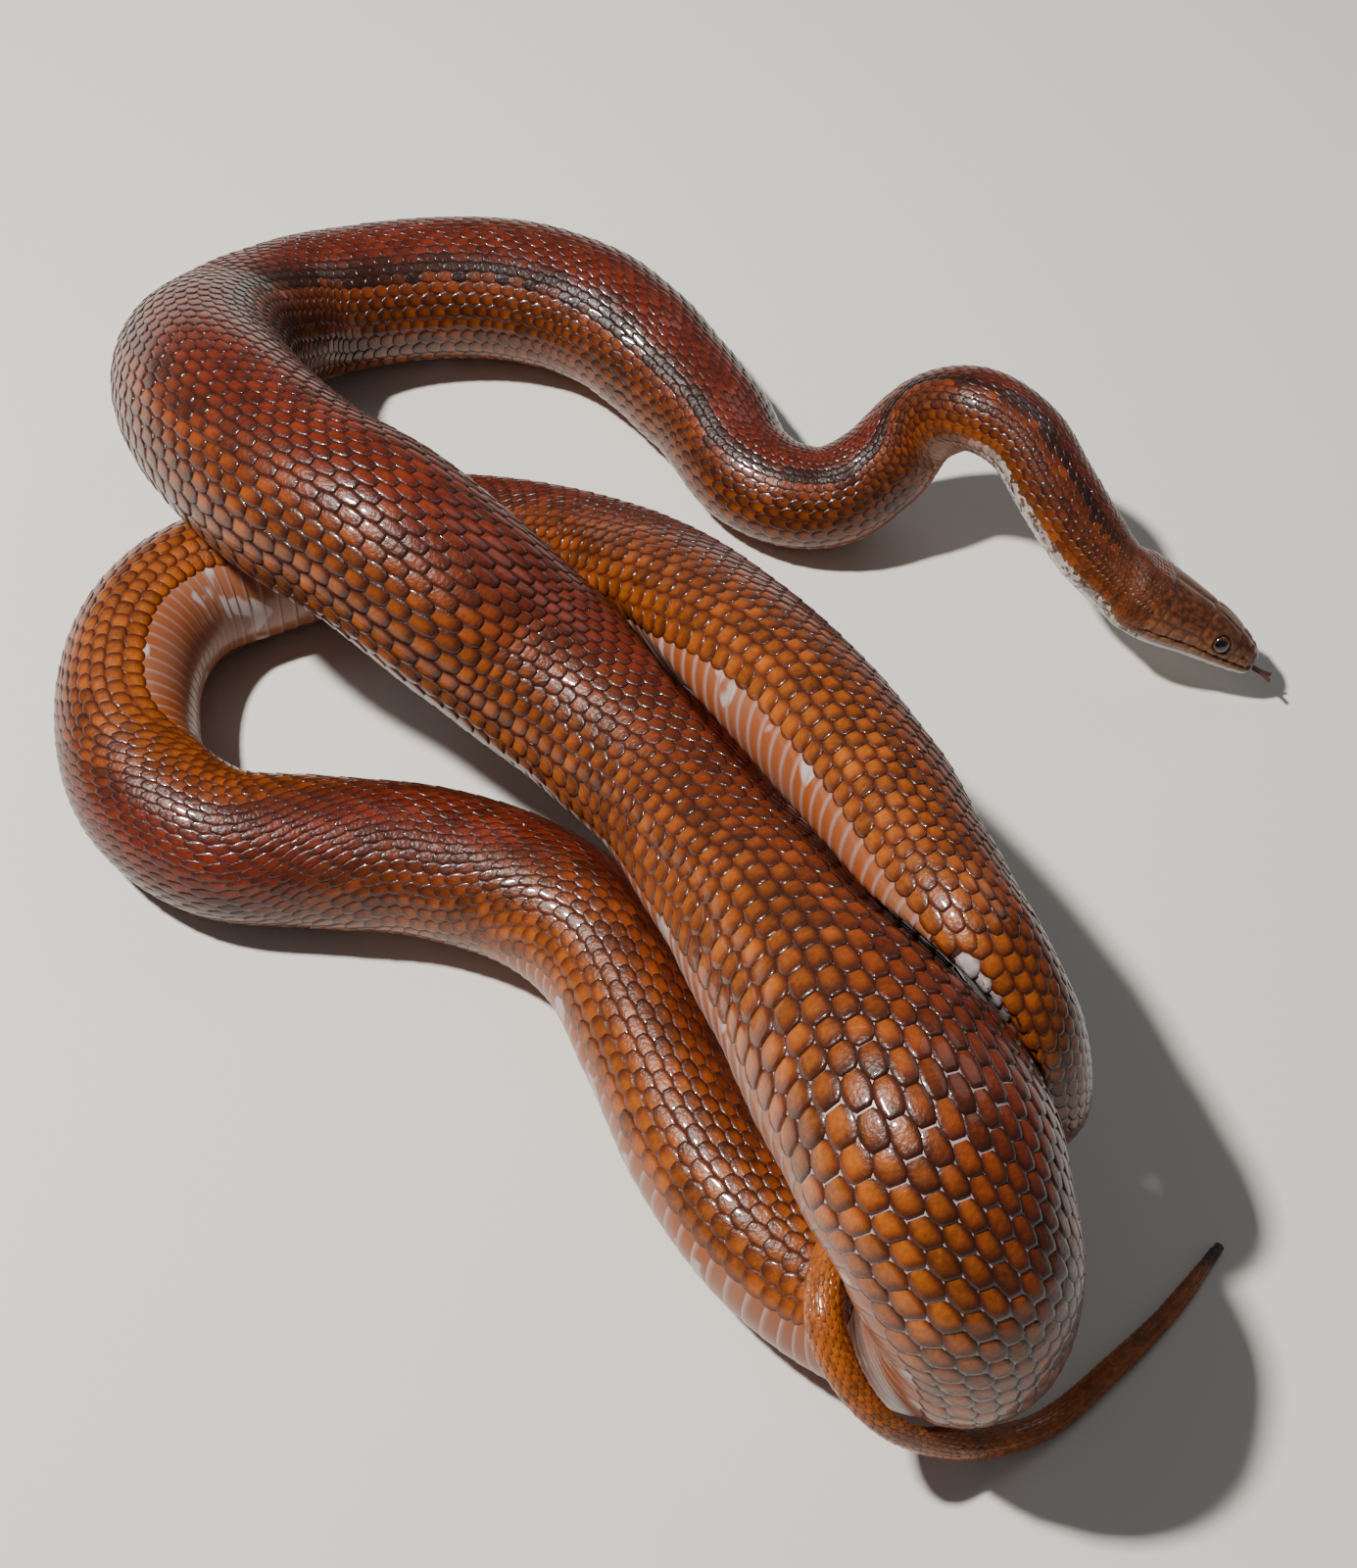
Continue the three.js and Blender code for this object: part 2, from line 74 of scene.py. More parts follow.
# the way the back faces at some of the stations
BACKS = [
    ("nape", 0.4, 0.4, 0.82), ("neck_low", 0.62, 0.25, 0.75), ("neck_high", 0.66, 0.2, 0.72),
    ("arch", 0.3, 0.4, 0.86), ("arch_foot", 0.1, 0.3, 0.95), ("rise_a", 0.1, 0.26, 0.97),
    ("top_b", 0, 0.12, 0.98), ("hairpin_a", -0.2, 0.1, 0.92), ("front_b", 0.3, 0.1, 0.95),
    ("front_e", 0.55, 0.2, 0.8), ("middle_c", 0.8, 0.05, 0.6), ("thick_b", 0.82, 0.1, 0.55),
    ("turn_b", 0.93, 0.2, 0.25), ("lower_a", 0.75, 0.6, 0.3), ("lower_e", 0.75, 0.5, 0.45),
    ("under_b", 0.05, 0.1, 1), ("under_d", -0.2, -0.8, 0.55), ("left_b", -0.9, 0.1, -0.35),
    ("left_d", -0.45, 0.85, -0.25), ("below_b", 0, 0.5, 0.87), ("climb_a", 0.5, 0.4, 0.75),
    ("right_b", 0.88, 0.45, 0.16), ("right_e", 0.9, 0.4, 0.12), ("dive_b", 0.95, 0.2, 0),
    ("behind_a", 0.6, 0.8, 0.1), ("behind_b", -0.2, 0.9, 0.4), ("vent", -0.6, 0.4, 0.7),
    ("tail_b", -0.4, 0.1, 0.9), ("tail_d", 0, -0.1, 1), ("tip", 0, 0, 1),
]
# where the body is filled out: from, fullest, to, how much
FILLED = [
    ("top_e", "front_b", "middle_b", 0.6), ("middle_a", "turn_a", "lower_b", 0.95),
    ("turn_a", "lower_b", "under_b", 0.4), ("under_d", "left_b", "below_a", 0.5),
    ("climb_b", "right_c", "behind_a", 0.6),
]
HEAD_REAR = np.array([72, 30, 16.5])
LOOK = np.array([22.5, -10.5, -8.5])
LOOK = LOOK / np.linalg.norm(LOOK)
CROWN = np.array([0.37, 0.26, 0.89])
CROWN = CROWN - LOOK * (CROWN @ LOOK)
CROWN = CROWN / np.linalg.norm(CROWN)
LEFT = np.cross(CROWN, LOOK)
ROUTE_STEPS = 24        # points of the route from one station to the next
RING_STEP = 2.2         # mm between cross sections of the body
FRAME_REACH = 2         # mm ahead and behind that give the direction
NAPE_EASE = 8           # mm over which the neck takes up its own direction
SMALL = 1e-9
names = [row[0] for row in STATIONS]


def smooth(t):
    t = np.clip(t, 0, 1)
    return t * t * (3 - 2 * t)


def unit(v):
    return v / np.maximum(np.linalg.norm(v, axis=-1, keepdims=True), SMALL)


def hump(distance, width):
    """1 at no distance, falling away softly to 0."""
    return np.exp(-(distance / width) ** 2)


def straight(a, b, ta, tb, t):
    """The point at t on the straight run from a at ta to b at tb."""
    return (tb - t) / (tb - ta) * a + (t - ta) / (tb - ta) * b


def through(points, per_span):
    """A smooth line through the points, closer where they are closer."""
    extended = np.vstack([2 * points[0] - points[1], points, 2 * points[-1] - points[-2]])
    out = []
    for i in range(len(points) - 1):
        p = extended[i:i + 4]
        k = np.concatenate([[0], np.cumsum(np.linalg.norm(np.diff(p, axis=0), axis=1) ** 0.5)])
        for t in k[1] + (k[2] - k[1]) * np.arange(per_span) / per_span:
            a = [straight(p[j], p[j + 1], k[j], k[j + 1], t) for j in range(3)]
            b = [straight(a[j], a[j + 1], k[j], k[j + 2], t) for j in range(2)]
            out.append(straight(b[0], b[1], k[1], k[2], t))
    out.append(points[-1])
    return np.array(out)


line = through(np.array([row[1:4] for row in STATIONS], float), ROUTE_STEPS)
along = np.concatenate([[0], np.cumsum(np.linalg.norm(np.diff(line, axis=0), axis=1))])
TOTAL = along[-1]
place = np.arange(len(line)) / ROUTE_STEPS
whole = np.minimum(place.astype(int), len(STATIONS) - 2)
halves = np.array([row[4] for row in STATIONS], float)
half = halves[whole] + (halves[whole + 1] - halves[whole]) * smooth(place - whole)


def station_along(name):
    return along[names.index(name) * ROUTE_STEPS]


def middle(s):
    return np.stack([np.interp(s, along, line[:, i]) for i in range(3)], -1)


def thickness(s):
    return np.interp(s, along, half)


def fullness(s):
    """How far the body is filled out, so that skin shows between the scales."""
    full = np.zeros_like(s)
    for start, peak, end, amount in FILLED:
        a, m, b = (station_along(n) for n in (start, peak, end))
        filled_here = smooth((s - a) / (m - a)) * smooth((b - s) / (b - m))
        full = np.maximum(full, amount * filled_here)
    return full


body_s = np.append(np.arange(0, TOTAL, RING_STEP), TOTAL)
at = middle(body_s)
ahead = middle(np.minimum(TOTAL, body_s + FRAME_REACH))
behind = middle(np.maximum(0, body_s - FRAME_REACH))
forward = unit(ahead - behind)
ease = smooth(body_s / NAPE_EASE)[:, None]
forward = unit(forward * ease - LOOK * (1 - ease))
keys = [names.index(row[0]) for row in BACKS]
ways = unit(np.array([row[1:] for row in BACKS], float))
body_place = np.interp(body_s, along, place)
key = np.clip(np.searchsorted(keys, body_place, side="left") - 1, 0, len(keys) - 2)
share = smooth((body_place - np.take(keys, key)) / (np.take(keys, key + 1) - np.take(keys, key)))[:, None]
back = ways[key] * (1 - share) + ways[key + 1] * share
back = unit(back - forward * np.sum(back * forward, 1)[:, None])
side = np.cross(forward, back)
bend = (ahead + behind - 2 * at) / FRAME_REACH ** 2
tight = np.linalg.norm(bend, axis=1)

# The skin
# One thin, soft hide over muscle from the lips to the tip of the tail. It shows
# as pale lines between scales where the body is full, and as shields on the head.
SIDES = 128
COAT = 0.42             # mm from the body's surface down to the skin
COAT_SHARE = 0.12       # the coat is never thicker than this share of the half thickness
BELLY_FLAT = 0.07
FLANK_SWELL = 0.02
TOUCH_STEP = 1.5        # mm between the places where another strand is felt for
TOUCH_REACH = 2
TOUCH_MARGIN = 0.45     # half of the gap between two strands
OTHER_STRAND = 30       # mm along the body to what counts as another strand
OTHER_STRAND_WIDTHS = 1.5
GLANCING = 0.05
LEAST_REACH = 0.2
INNER_BEND = 0.82       # no point crosses this share of the way to the bend's centre
STRAIGHT = 1e-6
FREE = 1e9
angles = np.arange(SIDES) / SIDES * 2 * math.pi
other_s = np.arange(0, TOTAL, TOUCH_STEP)
other_at = middle(other_s)
other_half = thickness(other_s)


def body_ring(i):
    """One cross section: a loaf, pressed flat where it meets a strand or the floor."""
    r = float(thickness(body_s[i]))
    sink = min(COAT, COAT_SHARE * r)
    belly = np.maximum(0, -np.cos(angles))
    wanted = r * (1 - BELLY_FLAT * belly ** 3 + FLANK_SWELL * np.sin(angles) ** 2)
    way = back[i] * np.cos(angles)[:, None] + side[i] * np.sin(angles)[:, None]
    between = other_at - at[i]
    gap = np.linalg.norm(between, axis=1)
    reach_apart = np.maximum(OTHER_STRAND, OTHER_STRAND_WIDTHS * (other_half + r))
    near = (np.abs(other_s - body_s[i]) > reach_apart) & (gap < r + other_half + TOUCH_REACH)
    if near.any():
        split = (gap[near] + (r * r - other_half[near] ** 2) / gap[near]) / 2 - TOUCH_MARGIN
        towards = way @ (between[near] / gap[near][:, None]).T
        limit = np.where(towards > GLANCING, split / np.maximum(towards, GLANCING), FREE).min(1)
        wanted = np.minimum(wanted, limit)
    reach = way * np.maximum(wanted - sink, LEAST_REACH)[:, None]
    if tight[i] > STRAIGHT:
        inward = bend[i] / tight[i]
        past = np.maximum(0, reach @ inward - INNER_BEND / tight[i])
        reach = reach - inward * past[:, None]
    ring = at[i] + reach
    ring[:, 2] = np.maximum(ring[:, 2], sink)
    return ring


# distance forward, half width, height of crown, depth of chin, lip line
HEAD = np.array([
    (0, 6.9, 6.7, -6.7, -2.4), (2.5, 7.2, 6.4, -6.3, -2.2), (5.5, 7.6, 5.9, -5.9, -2.0),
    (8.5, 7.5, 5.6, -5.6, -1.8), (11.5, 6.85, 5.3, -5.1, -1.5), (14, 6.0, 5.1, -4.6, -1.3),
    (16, 5.4, 4.9, -4.3, -1.2), (18, 4.95, 4.7, -4.0, -1.15), (20, 4.35, 4.2, -3.7, -1.1),
    (22, 3.7, 3.6, -3.4, -1.1), (24, 3.0, 2.8, -3.0, -1.1), (25.4, 2.3, 2.0, -2.6, -1.15),
    (26.1, 1.35, 1.2, -2.1, -1.2), (26.4, 0.12, 0.1, -0.9, -0.5),
])
# shares of the half width with shares of the crown's height, then of the depth
# from lip to chin, round one side from the crown to the chin
UPPER_PROFILE = [(0, 1), (0.38, 0.98), (0.7, 0.82), (0.9, 0.5), (1, 0.08)]
LOWER_PROFILE = [(0.98, 0), (0.93, 0.3), (0.78, 0.68), (0.42, 0.97), (0, 1)]
# the share of the way round from crown (0) through lip (0.5) to chin (1)
PROFILE_T = np.array([0, 0.1, 0.2, 0.3, 0.4, 0.5, 0.6, 0.72, 0.86, 1])
PROFILE_STEPS = 20
HEAD_LENGTH = 26.4
HEAD_STEPS = 12
BLUNT_FROM = 25.2       # past here the snout rounds off, in finer steps
BLUNT_STEP = 0.1
HEAD_STEP = 0.26
HEAD_FROM = 0.2
NAPE_JOIN = 4           # mm over which the head grows out of the neck's first ring
EYE_AT = np.array([19.4, 3.55, 1.2])
EYE_RADIUS = 1.7
NOSTRIL_AT = np.array([24.2, 2.9, 0.6])
head_line = through(HEAD, HEAD_STEPS)
head_x = np.concatenate([
    np.arange(HEAD_LENGTH, BLUNT_FROM, -BLUNT_STEP), np.arange(BLUNT_FROM, HEAD_FROM, -HEAD_STEP),
])
mirrored_angles = np.minimum(angles, 2 * math.pi - angles)


def head_half(x):
    w, crown, chin, lip = (np.interp(x, head_line[:, 0], head_line[:, j]) for j in (1, 2, 3, 4))
    upper = [(a * w, b * crown) for a, b in UPPER_PROFILE]
    lower = [(a * w, lip + (chin - lip) * b) for a, b in LOWER_PROFILE]
    return np.array(upper + lower)


def head_ring(x):
    points = head_half(x)
    over_ends = np.vstack([points[1:3][::-1] * [-1, 1], points, points[-3:-1][::-1] * [-1, 1]])
    fine = through(over_ends, PROFILE_STEPS)[2 * PROFILE_STEPS:-2 * PROFILE_STEPS]
    fine_t = np.interp(np.arange(len(fine)), np.arange(len(PROFILE_T)) * PROFILE_STEPS, PROFILE_T)
    turn = mirrored_angles / math.pi
    y = np.interp(turn, fine_t, fine[:, 0]) * np.where(angles <= math.pi, 1, -1)
    z = np.interp(turn, fine_t, fine[:, 1])
    return np.stack([np.full(SIDES, x), y, z], -1)


first_ring = body_ring(0)
local = np.array([head_ring(x) for x in head_x])
rows = []
for x, ring in zip(head_x, local):
    world_ring = HEAD_REAR + ring @ np.stack([LOOK, LEFT, CROWN])
    hold = smooth(x / NAPE_JOIN)
    rows.append(world_ring * hold + (first_ring + LOOK * x) * (1 - hold))
rows += [body_ring(i) for i in range(len(body_s))]
grid = np.array(rows)
row_s = np.concatenate([-head_x, body_s])
HEADS = len(head_x)
K = len(grid)


def grid_normals(g):
    down = np.gradient(g, axis=0)
    round_ = np.roll(g, -1, axis=1) - np.roll(g, 1, axis=1)
    n = unit(np.cross(down, round_))
    centre = g.mean(1, keepdims=True)
    turn_out = np.sign(np.sum(n * (g - centre), -1, keepdims=True).mean(1, keepdims=True))
    return n * np.where(turn_out == 0, 1, turn_out)


normals = grid_normals(grid)

# The seams between the shields, as runs of (distance forward, share round) points
SEAMS = [
    [(25.6, 0), (25.4, 0.2), (25.6, 0.42), (26, 0.5)], [(24.2, 0), (24.3, 0.21)],
    [(22, 0), (21.9, 0.1), (22.1, 0.24)], [(25.6, 0), (22, 0)],
    [(21.9, 0.1), (19.2, 0.085), (16.2, 0.055), (15.2, 0)], [(16.2, 0.055), (15.9, 0.24)],
    [(22.1, 0.24), (19.2, 0.26), (15.9, 0.24)], [(15.2, 0), (7.7, 0)],
    [(15.9, 0.24), (11.4, 0.23), (8.2, 0.14), (7.7, 0)], [(25.4, 0.2), (24.3, 0.21), (22.1, 0.24)],
    [(24, 0.21), (23.9, 0.37)], [(22.3, 0.24), (22.2, 0.37)], [(15.9, 0.24), (15.8, 0.37)],
    [(15.8, 0.3), (11.4, 0.3), (8.2, 0.3)], [(12.4, 0.23), (12.1, 0.37)], [(9, 0.2), (8.8, 0.37)],
    [(25.5, 0.38), (22.2, 0.37), (20.9, 0.4), (17.3, 0.4), (15.8, 0.37), (8.8, 0.38), (5.9, 0.42)],
    [(25.4, 0.6), (22.1, 0.61), (15.2, 0.63), (6.4, 0.64)], [(25.8, 1), (9.7, 1)],
    [(24.6, 0.62), (23.5, 1)], [(23, 0.62), (22.1, 0.8), (18.7, 0.82), (17.9, 1)],
    [(19.9, 0.63), (18.7, 0.82)], [(15.9, 0.64), (13.7, 0.84), (12.1, 1)],
]
UPPER_LIP_SEAMS = (23.6, 21.9, 20.1, 18.2, 16.1, 13.8, 11.3, 8.7, 6.4)
LOWER_LIP_SEAMS = (24.6, 23.2, 21.6, 19.8, 17.8, 15.5, 13.0, 10.4, 8.0)
SEAMS += [[(x, 0.385), (x - 0.2, 0.5)] for x in UPPER_LIP_SEAMS]
SEAMS += [[(x, 0.5), (x - 0.3, 0.61)] for x in LOWER_LIP_SEAMS]
LIP = [[(26.3, 0.5), (20, 0.5), (12, 0.5), (4.5, 0.53)]]
SHIELD_RISE, SEAM_WIDTH = 0.16, 0.32
LIP_GROOVE, LIP_WIDTH = 0.42, 0.3
NOSTRIL_DEPTH, NOSTRIL_WIDTH = 0.5, 0.5
BROW_RISE, BROW_AT, BROW_SIZE = 0.35, (19.3, 0.24), (2.4, 0.06)
RIM_RISE, RIM_RADIUS, RIM_WIDTH = 0.22, 1.95, 0.3
SOCKET_RADIUS, SOCKET_DEPTH = 1.65, 0.5
FAR = 9.0


def far_from(runs, x, turn, round_mm):
    """How far each point of the head is from the nearest of the runs, in mm."""
    best = np.full(x.shape, FAR)
    for run in runs:
        for (xa, ta), (xb, tb) in zip(run, run[1:]):
            ax, ay = x - xa, (turn - ta) * round_mm
            bx, by = xb - xa, (tb - ta) * round_mm
            h = np.clip((ax * bx + ay * by) / (bx * bx + by * by + SMALL), 0, 1)
            best = np.minimum(best, np.hypot(ax - h * bx, ay - h * by))
    return best


xx = np.repeat(head_x[:, None], SIDES, 1)
tt = np.repeat((mirrored_angles / math.pi)[None], HEADS, 0)
girth = np.linalg.norm(np.roll(local, -1, 1) - local, axis=2).sum(1)[:, None] / 2
seam = far_from(SEAMS, xx, tt, girth)
lip = far_from(LIP, xx, tt, girth)
mirrored_head = np.stack([local[..., 0], np.abs(local[..., 1]), local[..., 2]], -1)
eye_gap = np.linalg.norm(mirrored_head - EYE_AT, axis=2)
nostril = np.linalg.norm(mirrored_head - NOSTRIL_AT, axis=2)
on_shields = smooth((xx - 4.5) / 2.5)
on_lips = smooth((xx - 4) / 3)
rise = SHIELD_RISE * (1 - hump(seam, SEAM_WIDTH)) * on_shields
rise -= LIP_GROOVE * hump(lip, LIP_WIDTH) * on_lips
rise -= NOSTRIL_DEPTH * hump(nostril, NOSTRIL_WIDTH)
brow = hump(xx - BROW_AT[0], BROW_SIZE[0]) * hump(tt - BROW_AT[1], BROW_SIZE[1])
rise += BROW_RISE * brow
rise += RIM_RISE * hump(eye_gap - RIM_RADIUS, RIM_WIDTH)
grid[:HEADS] += normals[:HEADS] * rise[..., None]
inside_eye = (eye_gap < SOCKET_RADIUS)[..., None]
grid[:HEADS] = np.where(inside_eye, grid[:HEADS] - normals[:HEADS] * SOCKET_DEPTH, grid[:HEADS])
grid = (grid - CENTRE) * MM
normals = grid_normals(grid)


def add_object(name, mesh):
    """A smooth mesh in the scene, on the one body that carries everything."""
    mesh.polygons.foreach_set("use_smooth", [True] * len(mesh.polygons))
    mesh.update()
    obj = bpy.data.objects.new(name, mesh)
    bpy.context.scene.collection.objects.link(obj)
    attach(obj, "root")
    return obj


def add_mesh(name, verts, faces):
    mesh = bpy.data.meshes.new(name)
    mesh.from_pydata(verts.tolist(), [], faces)
    return add_object(name, mesh)


def face_out(verts, faces, outward):
    """The faces, turned round where they face in."""
    a, b, c = (verts[faces[:, j]] for j in (0, 1, 2))
    if np.sum(np.cross(b - a, c - a) * outward[faces[:, 0]]) < 0:
        return faces[:, ::-1]
    return faces


def add_vectors(obj, name, values):
    layer = obj.data.attributes.new(name, "FLOAT_VECTOR", "POINT")
    layer.data.foreach_set("vector", np.asarray(values, np.float32).ravel())


index = np.arange(K * SIDES).reshape(K, SIDES)
nxt = np.roll(index, -1, axis=1)
quads = np.stack([index[:-1], nxt[:-1], nxt[1:], index[1:]], -1).reshape(-1, 4)
quads = face_out(grid.reshape(-1, 3), quads, normals.reshape(-1, 3))
caps = [index[0][::-1], index[-1]] if quads[0][0] == 0 else [index[0], index[-1][::-1]]
skin = add_mesh("skin", grid.reshape(-1, 3), quads.tolist() + [cap.tolist() for cap in caps])
FLESH = ["head", "neck"] + [f"body_{i}" for i in range(1, 12)] + ["tail_base", "tail"]
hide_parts(*FLESH)
marks = np.zeros((K, SIDES, 3))
marks[..., 0] = np.where(angles <= math.pi, angles, angles - 2 * math.pi) / math.pi
marks[..., 1] = row_s[:, None] * MM
marks[..., 2] = fullness(row_s)[:, None]
EYE_SHADE = 2.2         # mm, how far the skin is darker round the eye
shields = np.zeros((K, SIDES, 3))
shields[..., 0] = 1
shields[..., 1] = 1
shields[:HEADS, :, 0] = np.minimum(seam, 1)
shields[:HEADS, :, 1] = np.minimum(np.minimum(lip, nostril), 1)
shields[:HEADS, :, 2] = np.exp(-(eye_gap / EYE_SHADE) ** 4)
add_vectors(skin, "place", marks.reshape(-1, 3))
add_vectors(skin, "shield", shields.reshape(-1, 3))

# the unwrap of the skin: eight strips along the body, one below the other
STRIPS = 8
STRIP_LENGTH, STRIP_END = 0.96, 0.01
STRIP_WIDTH, STRIP_EDGE = 0.92, 0.04
skin_length = TOTAL + HEAD_LENGTH
uv = skin.data.uv_layers.new(name="OFBake")
loops = np.zeros(len(skin.data.loops), np.int32)
skin.data.loops.foreach_get("vertex_index", loops)
loop_row, loop_col = loops // SIDES, loops % SIDES
starts = np.zeros(len(skin.data.polygons), np.int32)
totals = np.zeros(len(skin.data.polygons), np.int32)
skin.data.polygons.foreach_get("loop_start", starts)
skin.data.polygons.foreach_get("loop_total", totals)
face_of = np.repeat(np.arange(len(starts)), totals)
mid_row = np.minimum.reduceat(loop_row, starts)[face_of]
strip = ((row_s[mid_row] + HEAD_LENGTH) / skin_length * STRIPS).astype(int)
strip = np.minimum(STRIPS - 1, strip)
u = ((row_s[loop_row] + HEAD_LENGTH) / skin_length * STRIPS - strip) * STRIP_LENGTH + STRIP_END
wraps = (np.maximum.reduceat(loop_col, starts)[face_of] == SIDES - 1) & (loop_col == 0)
v = (strip + STRIP_EDGE + STRIP_WIDTH * np.where(wraps, 1.0, loop_col / SIDES)) / STRIPS
uv.data.foreach_set("uv", np.stack([u, v], -1).astype(np.float32).ravel())


class Wire:
    """One value in a material; sums and products of wires make maths nodes."""

    def __init__(self, tree, socket):
        self.tree, self.socket = tree, socket

    def make(self, kind, settings, inputs, out=0):
        node = self.tree.nodes.new(kind)
        for key, value in settings.items():
            setattr(node, key, value)
        for key, value in inputs.items():
            if isinstance(value, Wire):
                self.tree.links.new(value.socket, node.inputs[key])
            else:
                node.inputs[key].default_value = value
        return Wire(self.tree, node.outputs[out])

    def into(self, shader, name):
        self.tree.links.new(self.socket, shader.inputs[name])

    def calc(self, operation, *others):
        values = dict(enumerate((self, *others)))
        return self.make("ShaderNodeMath", {"operation": operation}, values)

    def __add__(self, other):
        return self.calc("ADD", other)

    def __sub__(self, other):
        return self.calc("SUBTRACT", other)

    def __mul__(self, other):
        return self.calc("MULTIPLY", other)

    def __rsub__(self, other):
        return (self * -1.0) + other

    __radd__ = __add__

    def size(self):
        return self.calc("ABSOLUTE")

    def ramp(self, start, end):
        """0 before start, 1 after end, smooth between."""
        settings = {"interpolation_type": "SMOOTHSTEP"}
        return self.make("ShaderNodeMapRange", settings, {0: self, 1: start, 2: end, 3: 0.0, 4: 1.0})

    def bands(self, stops):
        """Colour by this value, through a list of (position, colour)."""
        node = self.make("ShaderNodeValToRGB", {}, {0: self})
        elements = node.socket.node.color_ramp.elements
        while len(elements) < len(stops):
            elements.new(0.5)
        for element, (position, colour) in zip(elements, stops):
            element.position = position
            element.color = (*colour, 1)
        return node

    def tint(self, low_colour, high_colour):
        """Between two colours, or wires of colour, by this value."""
        ends = [c if isinstance(c, Wire) else (*c, 1) for c in (low_colour, high_colour)]
        return self.make("ShaderNodeMix", {"data_type": "RGBA"}, {0: self, 6: ends[0], 7: ends[1]}, 2)

    def brighten(self, colour):
        """The colour, lighter or darker by this value."""
        return self.make("ShaderNodeHueSaturation", {}, {"Value": self, "Color": colour})

    def noise(self, scale, detail=2.0):
        where = self.make("ShaderNodeTexCoord", {}, {}, 3)
        return self.make("ShaderNodeTexNoise", {}, {"Vector": where, "Scale": scale, "Detail": detail})

    def parts(self, name):
        vector = self.make("ShaderNodeAttribute", {"attribute_name": name}, {}, 1)
        split = self.make("ShaderNodeSeparateXYZ", {}, {0: vector})
        return [Wire(self.tree, split.socket.node.outputs[i]) for i in range(3)]


SHEEN = 0.22            # how much the bare surface mirrors, under any clear coat


def new_material(name, roughness, coat=0.0, coat_roughness=0.1):
    material = bpy.data.materials.new(name)
    material.use_nodes = True
    tree = material.node_tree
    shader = tree.nodes["Principled BSDF"]
    shader.inputs["Roughness"].default_value = roughness
    shader.inputs["Specular IOR Level"].default_value = SHEEN
    shader.inputs["Coat Weight"].default_value = coat
    shader.inputs["Coat Roughness"].default_value = coat_roughness
    return material, Wire(tree, None), shader


# colours of the bare skin and of the head
HIDE_TIGHT, HIDE_FULL = (0.040, 0.013, 0.008), (0.42, 0.32, 0.32)
CROWN_DARK, CROWN_LIGHT = (0.045, 0.013, 0.006), (0.115, 0.036, 0.013)
CHEEK_DARK, CHEEK_LIGHT = (0.11, 0.032, 0.011), (0.23, 0.088, 0.032)
THROAT = (0.52, 0.47, 0.42)
SEAM_COLOUR, GROOVE_SHADE_COLOUR = (0.03, 0.012, 0.008), (0.03, 0.014, 0.01)
EYE_SHADE_COLOUR = (0.07, 0.03, 0.02)
LINE_SEEN = (0.05, 0.35)        # mm from a seam or the lip, darkest to plain
material, wire, shader = new_material("skin_hide", 0.4, 0.25, 0.2)
across, down_body, filled = wire.parts("place")
from_seam, from_lip, near_eye = wire.parts("shield")
turned = across.size()
open_skin = filled.ramp(0.3, 0.95) * (0.45 + turned.ramp(0.1, 0.4) * 0.55)
hide = open_skin.tint(HIDE_TIGHT, HIDE_FULL)
on_head = (down_body * -1.0).ramp(-0.002, 0.004)
mottle = wire.noise(900.0, 3.0)
top_colour = mottle.ramp(0.35, 0.65).tint(CROWN_DARK, CROWN_LIGHT)
cheek = mottle.ramp(0.3, 0.7).tint(CHEEK_DARK, CHEEK_LIGHT)
head_colour = turned.ramp(0.27, 0.42).tint(top_colour, cheek)
throat = turned.ramp(0.56, 0.72).tint(head_colour, THROAT)
seam_dark = (1.0 - from_seam.ramp(*LINE_SEEN)) * (1.0 - turned.ramp(0.62, 0.75) * 0.8)
lined = (seam_dark * 0.6).tint(throat, SEAM_COLOUR)
# painted shade: the mouth slit along the lip and the nostrils are darkened
grooved = (1.0 - from_lip.ramp(*LINE_SEEN)).tint(lined, GROOVE_SHADE_COLOUR)
by_eye = (near_eye * 0.6).tint(grooved, EYE_SHADE_COLOUR)
on_head.tint(hide, by_eye).into(shader, "Base Color")
skin.data.materials.append(material)

# The scales
# Thin horny leaves in slanting rows, rooted at the head side and free at the
# tail side, with a weak keel. They overlap, but stand apart where the body is full.
BELLY = 0.133           # half of the belly's share of the way round
FIRST_SCALE = -7.0      # mm along, over the rear of the head
LAST_SCALE = 1.5        # mm before the tip
# leaves run from root (0) to free end (1), and from edge (-1) to edge (1)
LEAF_V = (0.0, 0.13, 0.33, 0.53, 0.72, 0.87, 0.96, 1.0)
LEAF_U = (-1, -0.88, -0.5, 0, 0.5, 0.88, 1)
LEAN = (0.42, 0.72, 0.96, 1.0, 0.88, 0.6, 0.34, 0.2)
EVEN = (0.56, 0.8, 0.97, 1.0, 0.97, 0.82, 0.64, 0.54)
KEEL = 0.13
ROOT_AT = 0.35          # the share of a leaf's length that lies before its place
EDGE_DOWN = 0.12        # the rim's height, as a share of the leaf's
LEAF_TILT = 0.14
FLOOR_GAP = 0.00005     # metres
CURVE_SPAN = 9          # cross sections over which the bend is evened out
CROWDING = 1.1
ROW_PITCH, ROW_PITCH_PER_HALF = 1.0, 0.22
NAPE_PITCH, PITCH_GAIN, FULL_PITCH_IN = 0.8, 0.2, 25    # rows begin closer together
